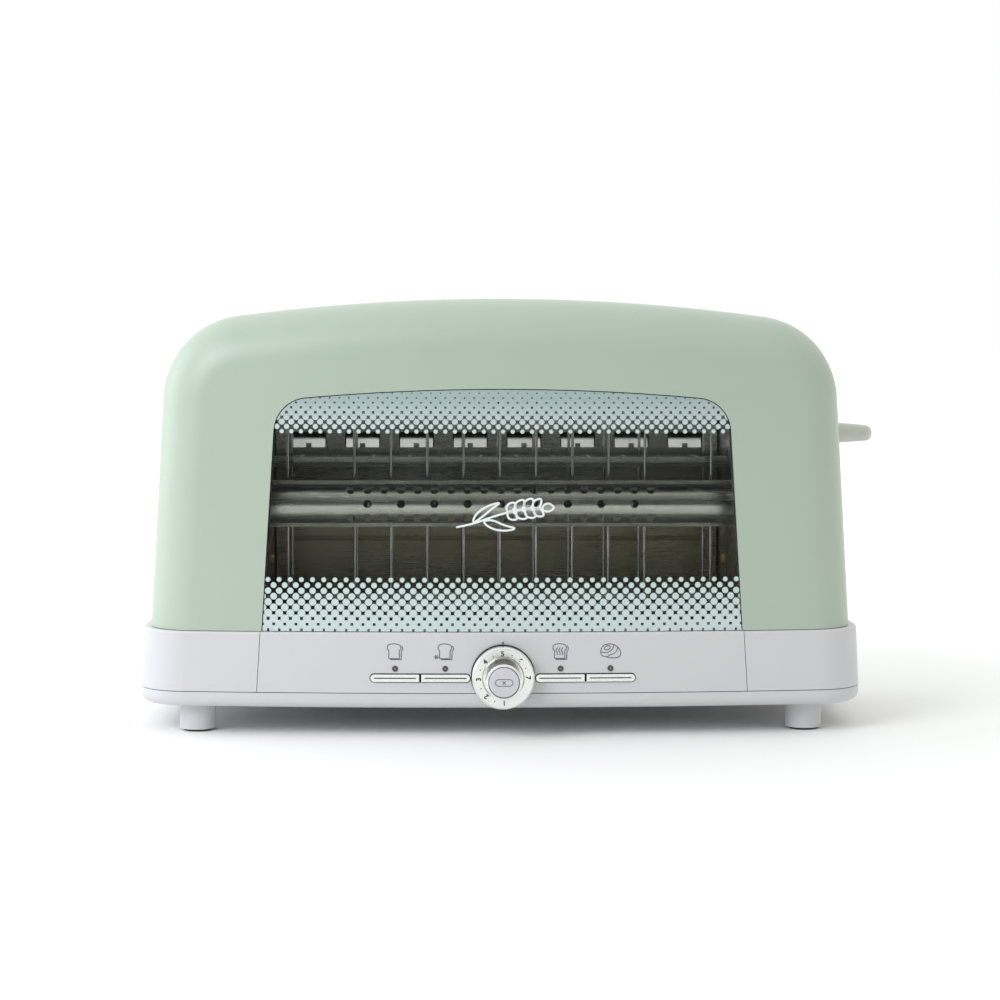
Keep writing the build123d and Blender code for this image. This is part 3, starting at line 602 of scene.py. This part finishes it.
class TOASTER_OT_window_print(Operator):
    """Print the two bands of dots on the glass"""

    bl_idname = "toaster.window_print"
    bl_label = "Print the window"

    def execute(self, context):
        sizes = context.scene.toaster_print
        low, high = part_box("window_glass")
        middle, half_width = (low.x + high.x) / 2, (high.x - low.x) / 2
        colours = context.scene.toaster_colours
        # the dots darken towards the top of the glass: painted shade of the shell's arch
        ink = screen_ink("window_ink", colours.window_ink, colours.window_ink_deep,
                         sizes.upper_start, sizes.upper_start + INK_ARCH_SHADE_FADE)
        lower = [r * MM for r in (1.27, 1.5, 1.66, 1.78, 1.88, 1.96, 2.02, 2.1, 2.18, 2.26)]
        upper = [r * MM for r in (1.1, 1.35, 1.55, 1.7, 1.8, 1.9, 1.98, 2.05, 2.12)]
        solid_rows = int((high.z - sizes.upper_start) / (sizes.upper_pitch / 2)) + 2 - len(upper)
        upper += [sizes.upper_pitch / 2] * solid_rows
        bands = {"lower_print": (sizes.lower_pitch, sizes.lower_start, -1, lower),
                 "upper_print": (sizes.upper_pitch, sizes.upper_start, 1, upper)}
        for name, (pitch, start, way, radii) in bands.items():
            bm = bmesh.new()
            add_print_band(bm, pitch, start, way * pitch / 2, radii, middle, half_width)
            bmesh.ops.remove_doubles(bm, verts=bm.verts, dist=WELD)
            for point, normal in rim_planes("window_glass"):
                bmesh.ops.bisect_plane(bm, geom=[*bm.verts, *bm.edges, *bm.faces], dist=CUT_SLACK,
                                       plane_co=point - normal * sizes.margin, plane_no=normal,
                                       clear_outer=True)
            lay_on_front(bm, "window_glass", sizes.lift)
            piece_from(bm, name, ink, "body")
        return {"FINISHED"}


class TOASTER_OT_window_emblem(Operator):
    """Print the line-drawn ear of wheat on the glass"""

    bl_idname = "toaster.window_emblem"
    bl_label = "Print the emblem"

    def execute(self, context):
        sizes = context.scene.toaster_print
        ink = screen_ink("emblem_ink", context.scene.toaster_colours.emblem_ink)
        grain = [(0, 0), (1.0, 2.0), (3.8, 2.7), (7.2, 0), (3.8, -2.1), (1.0, -1.5)]
        stem = [(-25, -8.5), (-17, -7.0), (-8, -3.6), (2, -0.6), (12, 1.0), (19, 1.2)]
        leaf = [(-17, -6.8), (-15, -1.5), (-9, 2.5), (-1.5, 4.6), (-6.5, 1.2), (-12, -3.5)]
        low_leaf = [(-12, -5.2), (-7, -9.4), (0.5, -10.5), (6.5, -9.0), (-0.5, -7.6), (-6, -4.6)]
        middle = Vector((box_centre("window_glass").x + 0.001, 0, sizes.emblem_height))
        bm = bmesh.new()
        lines = [(stem, False), (leaf, True), (low_leaf, True)]
        for along, lift, size in ((1.5, -0.7, 0.9), (6, 0.15, 1.0), (10.5, 0.75, 1.0), (15, 1.1, 0.92)):
            for side in (1, -1):
                angle = math.radians(9 + side * 46)
                lines.append(([(along + size * (x * math.cos(angle) - side * y * math.sin(angle)),
                                lift + size * (x * math.sin(angle) + side * y * math.cos(angle)))
                               for x, y in grain], True))
        lines.append(([(19 + x * 0.95, 1.2 + y * 0.95 + x * 0.05) for x, y in grain], True))
        add_lines(bm, lines, sizes.emblem_line, middle)
        lay_on_front(bm, "window_glass", sizes.lift)
        piece_from(bm, "window_emblem", ink, "body")
        return {"FINISHED"}


class TOASTER_OT_panel_marks(Operator):
    """Print the key symbols and the dial's pointer on the control panel"""

    bl_idname = "toaster.panel_marks"
    bl_label = "Print the panel"

    def execute(self, context):
        sizes = context.scene.toaster_marks
        ink = screen_ink("panel_ink", context.scene.toaster_colours.panel_ink)
        slice_front = [(-3.0, -3.5), (0, -3.5), (2.3, -3.5), (2.4, -3.3), (2.3, -0.4), (2.3, 0.7),
                       (3.2, 1.2), (3.0, 3.2), (1.5, 3.9), (-0.4, 4.1), (-2.3, 3.9), (-3.7, 3.2),
                       (-3.9, 1.2), (-3.0, 0.7), (-3.0, -0.4), (-3.1, -3.3)]
        slice_side = [(-2.4, -4.0), (0, -4.0), (3.2, -4.0), (3.3, -3.9), (3.3, 0.2), (4.1, 0.9),
                      (4.1, 2.2), (3.5, 3.0)]
        flake = [([(-6.0, -2.7), (-3.4, -2.7)], False), ([(-5.4, -1.6), (-4.0, -3.8)], False),
                 ([(-4.0, -1.6), (-5.4, -3.8)], False)]
        waves = [([(x, -1.7), (x + 0.6, -0.8), (x - 0.6, 0.6), (x, 1.5), (x + 0.3, 2.2)], False)
                 for x in (-1.8, -0.4, 1.0)]
        roll = [([(-5.3, 0.4), (-4.0, 3.2), (-1.0, 4.0), (2.2, 3.4), (4.6, 1.2), (5.4, -1.4), (4.0, -3.2),
                  (0.4, -3.5), (-2.2, -2.8), (-5.0, -2.2)], True),
                ([(-3.5, 1.0), (-2.8, 2.7), (-0.6, 3.1), (-0.1, 1.7), (-1.8, 0.6)], True),
                ([(-4.9, -0.3), (-2.4, -1.0), (0.2, 0.3), (1.4, 2.0), (1.6, 3.4)], False),
                ([(-1.8, -2.7), (-0.4, -1.6), (1.8, -1.2), (3.4, 0.6), (3.6, 2.2)], False)]
        plain = [(slice_front, True), (slice_side, False)]
        symbols = [plain, [*plain, *flake], [*plain, *waves], roll]
        bm = bmesh.new()
        for key, lines in zip(KEYS, symbols):
            place = Vector((box_centre(key).x, 0, sizes.symbol_height))
            add_lines(bm, lines, sizes.symbol_line, place)
        add_dot(bm, POINTER_DOT, Vector((box_centre("dial_knob").x, 0, sizes.pointer_height)))
        lay_on_front(bm, "control_panel", INK_LIFT)
        piece_from(bm, "panel_marks", ink, "body")
        return {"FINISHED"}


class TOASTER_OT_dial_marks(Operator):
    """Print the browning numbers and the dots between them on the dial"""

    bl_idname = "toaster.dial_marks"
    bl_label = "Print the dial"

    def execute(self, context):
        sizes = context.scene.toaster_marks
        ink = screen_ink("dial_ink", context.scene.toaster_colours.dial_ink)
        middle = box_centre("dial_knob")
        middle.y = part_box("dial_knob")[0].y + NUMBER_RING_DEPTH - INK_LIFT
        bm = bmesh.new()
        for number in range(1, sizes.numbers + 1):
            angle = math.radians(90 + NUMBER_STEP * (TOP_NUMBER - number) + TOP_NUMBER_TILT)
            outward = Vector((math.cos(angle), 0, math.sin(angle)))
            add_text(bm, str(number), sizes.number_size, middle + outward * sizes.number_radius,
                     math.pi / 2 - angle)
            if number < sizes.numbers:
                between = angle - math.radians(NUMBER_STEP / 2)
                outward = Vector((math.cos(between), 0, math.sin(between)))
                add_dot(bm, BETWEEN_DOT, middle + outward * sizes.number_radius, 12)
        piece_from(bm, "dial_numbers", ink, "dial")
        return {"FINISHED"}


class TOASTER_OT_dial_seat(Operator):
    """Set a dark ring behind the dial: a painted shadow for the gap between the dial and the panel"""

    bl_idname = "toaster.dial_seat"
    bl_label = "Fit the dial's washer"

    def execute(self, context):
        low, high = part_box("dial_knob")
        middle = (low + high) / 2
        radius = (high.x - low.x) / 2 + SHADOW_RING_RIM
        place = Matrix.Translation((middle.x, high.y + SHADOW_RING_GAP, middle.z)) @ FACE_FRONT
        # painted shadow: a near-black ring standing in for the shadowed gap round the dial
        dial_shadow_paint = fired_clay("dial_shadow_paint_finish", (0.035, 0.035, 0.037), 0.9, 2400)
        bm = bmesh.new()
        bmesh.ops.create_circle(bm, segments=96, radius=radius, cap_ends=True, matrix=place)
        bmesh.ops.inset_region(bm, faces=bm.faces, thickness=SHADOW_RING_WIDTH, use_even_offset=True,
                               use_boundary=True)
        bmesh.ops.delete(bm, geom=[max(bm.faces, key=lambda face: len(face.verts))], context="FACES")
        bmesh.ops.solidify(bm, geom=bm.faces, thickness=SHADOW_RING_THICKNESS)
        piece_from(bm, "painted_dial_shadow_ring", dial_shadow_paint, "body")
        return {"FINISHED"}


class TOASTER_OT_key_trims(Operator):
    """Set a dark bar in the groove along the face of each key, a painted shade for the groove"""

    bl_idname = "toaster.key_trims"
    bl_label = "Trim the keys"

    def execute(self, context):
        # painted shade: a near-black bar sunk in each key's groove, where the groove's shade falls
        painted_groove_shade = moulded_plastic("painted_groove_shade_finish", (0.03, 0.03, 0.032), 0.4, 2000, 0.00001)
        for key, body in KEYS.items():
            low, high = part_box(key)
            middle = (low + high) / 2
            bm = bmesh.new()
            add_bar(bm, low.x + GROOVE_SHADE_END, high.x - GROOVE_SHADE_END, middle.z, GROOVE_SHADE_RADIUS, GROOVE_SHADE_THICKNESS)
            lay_on_front(bm, key, -GROOVE_SHADE_SINK, middle.z + GROOVE_SHADE_LEVEL)
            piece_from(bm, f"{key}_painted_groove_shade", painted_groove_shade, body)
        return {"FINISHED"}


class TOASTER_OT_lamp_chips(Operator):
    """Set a small grey dot on each smoked lens, where its light chip shows"""

    bl_idname = "toaster.lamp_chips"
    bl_label = "Set the lamp chips"

    def execute(self, context):
        chip = moulded_plastic("lamp_chip_finish", (0.16, 0.16, 0.165), 0.35, 2000, 0.00001)
        bm = bmesh.new()
        low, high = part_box("status_lenses")
        for x in lamp_places():
            add_dot(bm, CHIP_RADIUS, Vector((x, 0, (low.z + high.z) / 2)), 16)
        lay_on_front(bm, "status_lenses", CHIP_LIFT)
        piece_from(bm, "lamp_chips", chip, "body")
        return {"FINISHED"}


class TOASTER_OT_cancel_mark(Operator):
    """Print the stop symbol on the cancel button"""

    bl_idname = "toaster.cancel_mark"
    bl_label = "Print the button"

    def execute(self, context):
        ink = screen_ink("button_ink", context.scene.toaster_colours.panel_ink)
        middle = box_centre("cancel_button")
        face_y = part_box("cancel_button")[0].y
        cross = [([(-0.8, -0.8), (0.8, 0.8)], False), ([(-0.8, 0.8), (0.8, -0.8)], False)]
        bm = bmesh.new()
        add_bar(bm, middle.x - PILL_HALF_LENGTH, middle.x + PILL_HALF_LENGTH, middle.z, PILL_RADIUS,
                PILL_THICKNESS, PILL_LINE)
        bmesh.ops.translate(bm, verts=bm.verts, vec=(0, face_y, 0))
        add_lines(bm, cross, CROSS_LINE, Vector((middle.x, face_y, middle.z)))
        piece_from(bm, "cancel_mark", ink, "cancel")
        return {"FINISHED"}


class TOASTER_OT_stage(Operator):
    """Set the floor, the white surround, the lights and the camera"""

    bl_idname = "toaster.stage"
    bl_label = "Set the stage"

    def execute(self, context):
        studio = context.scene.toaster_studio
        bm = bmesh.new()
        bmesh.ops.create_grid(bm, x_segments=40, y_segments=40, size=FLOOR_HALF)
        bmesh.ops.translate(bm, verts=bm.verts, vec=(0, FLOOR_HALF - studio.apron, 0))
        mesh = bpy.data.meshes.new("studio_floor")
        bm.to_mesh(mesh)
        bm.free()
        paper = Finish("studio_paper", Specular_IOR_Level=0.2, Emission_Strength=studio.far_glow)
        fibre = paper.noise(900, 2.0)
        x, y, _ = paper.parts(paper.place())
        far = paper.clamp((paper.maths("SQRT", x * x + y * y) - GLOW_START) / GLOW_REACH)
        paper.feed(paper.shader, {"Emission Color": paper.blend(far, (0, 0, 0), (1, 1, 1))})
        mesh.materials.append(paper.finish(colour=paper.blend(fibre, (0.91, 0.91, 0.91), (0.95, 0.95, 0.95)),
                                           rough=0.8 + (fibre - 0.5) * 0.1))
        floor = bpy.data.objects.new("studio_floor", mesh)
        context.scene.collection.objects.link(floor)
        self.surround(context, studio)
        self.light(context, "key_light", place=(-0.95, -1.05, 0.95), size=0.8, power=studio.key_power,
                   tint=(0.95, 0.985, 1.0))
        self.light(context, "side_light", place=(-1.1, 0.25, 0.45), size=0.7, power=studio.side_power,
                   tint=(0.97, 0.99, 1.0))
        self.camera(context, studio)
        context.scene.view_settings.view_transform = "Standard"
        return {"FINISHED"}

    def surround(self, context, studio):
        """White to the camera. The toaster sees it brighter above, behind and at the left, cooler at the
        left and warmer at the right, and dim at the front, like a white stage before a dark room."""
        world = bpy.data.worlds.new("studio_surround")
        context.scene.world = world
        world.use_nodes = True
        air = Shading(world.node_tree)
        seen = world.node_tree.nodes["Background"]
        air.feed(seen, {"Color": (1, 1, 1), "Strength": 1.0})
        x, y, z = air.parts(air.node("ShaderNodeTexCoord").outputs["Generated"])
        front = air.clamp((y * -1.0 - 0.8) / 0.15)
        strength = (0.85 + z * 0.3 - x * 0.1 + y * 0.35) * (1.0 - front * studio.front_dim) * studio.surround
        tint = air.blend(air.clamp(x * 0.5 + 0.5), (0.96, 0.99, 1.04), (1.0, 0.985, 0.92))
        lit = air.node("ShaderNodeBackground", None, {"Color": tint, "Strength": strength})
        rays = air.node("ShaderNodeLightPath").outputs["Is Camera Ray"]
        both = air.node("ShaderNodeMixShader", None, {0: rays, 1: lit.outputs[0], 2: seen.outputs[0]})
        air.feed(world.node_tree.nodes["World Output"], {"Surface": both.outputs[0]})

    def light(self, context, name, place, size, power, tint):
        data = bpy.data.lights.new(name, "AREA")
        data.size = size
        data.energy = power
        data.color = tint
        lamp = bpy.data.objects.new(name, data)
        lamp.location = place
        lamp.rotation_mode = "QUATERNION"
        lamp.rotation_quaternion = (Vector(LIGHT_AIM) - lamp.location).to_track_quat("-Z", "Y")
        context.scene.collection.objects.link(lamp)

    def camera(self, context, studio):
        """Aims a little left of the window's middle, close to its face."""
        data = bpy.data.cameras.new("camera")
        data.lens = studio.lens
        data.sensor_width = 36
        camera = bpy.data.objects.new("camera", data)
        aim = Vector((box_centre("window_glass").x - AIM_LEFT, AIM_Y, AIM_HEIGHT))
        azimuth, elevation = math.radians(studio.azimuth), math.radians(studio.elevation)
        back = Vector((math.sin(azimuth) * math.cos(elevation), -math.cos(azimuth) * math.cos(elevation),
                       math.sin(elevation)))
        camera.rotation_mode = "QUATERNION"
        camera.location = aim + back * studio.distance
        camera.rotation_quaternion = ((-back).to_track_quat("-Z", "Y")
                                      @ Matrix.Rotation(math.radians(studio.roll), 3, "Z").to_quaternion())
        context.scene.collection.objects.link(camera)
        context.scene.camera = camera


class TOASTER_PT_panel(Panel):
    """Lists the toaster's pieces in the order they are made"""

    bl_idname = "TOASTER_PT_panel"
    bl_label = "Toaster"
    bl_space_type = "VIEW_3D"
    bl_region_type = "UI"
    bl_category = "Toaster"

    def draw(self, context):
        for group in ("toaster_colours", "toaster_print", "toaster_marks", "toaster_studio"):
            settings = getattr(context.scene, group)
            column = self.layout.box().column()
            for name in settings.__annotations__:
                column.prop(settings, name)
        for operator in OPERATORS:
            self.layout.operator(operator.bl_idname)


GROUPS = {"toaster_colours": ToasterColours, "toaster_print": ToasterPrint, "toaster_marks": ToasterMarks,
          "toaster_studio": ToasterStudio}
OPERATORS = (TOASTER_OT_finish_parts, TOASTER_OT_window_print, TOASTER_OT_window_emblem,
             TOASTER_OT_panel_marks, TOASTER_OT_dial_marks, TOASTER_OT_dial_seat, TOASTER_OT_key_trims,
             TOASTER_OT_lamp_chips, TOASTER_OT_cancel_mark, TOASTER_OT_stage)


def register():
    for name, group in GROUPS.items():
        bpy.utils.register_class(group)
        setattr(bpy.types.Scene, name, PointerProperty(type=group))
    for operator in OPERATORS:
        bpy.utils.register_class(operator)
    bpy.utils.register_class(TOASTER_PT_panel)


def unregister():
    bpy.utils.unregister_class(TOASTER_PT_panel)
    for operator in reversed(OPERATORS):
        bpy.utils.unregister_class(operator)
    for name, group in reversed(GROUPS.items()):
        delattr(bpy.types.Scene, name)
        bpy.utils.unregister_class(group)


def main():
    """Builds the whole toaster in order."""
    register()
    for operator in OPERATORS:
        group, name = operator.bl_idname.split(".")
        getattr(getattr(bpy.ops, group), name)()


if __name__ == "__main__":
    main()
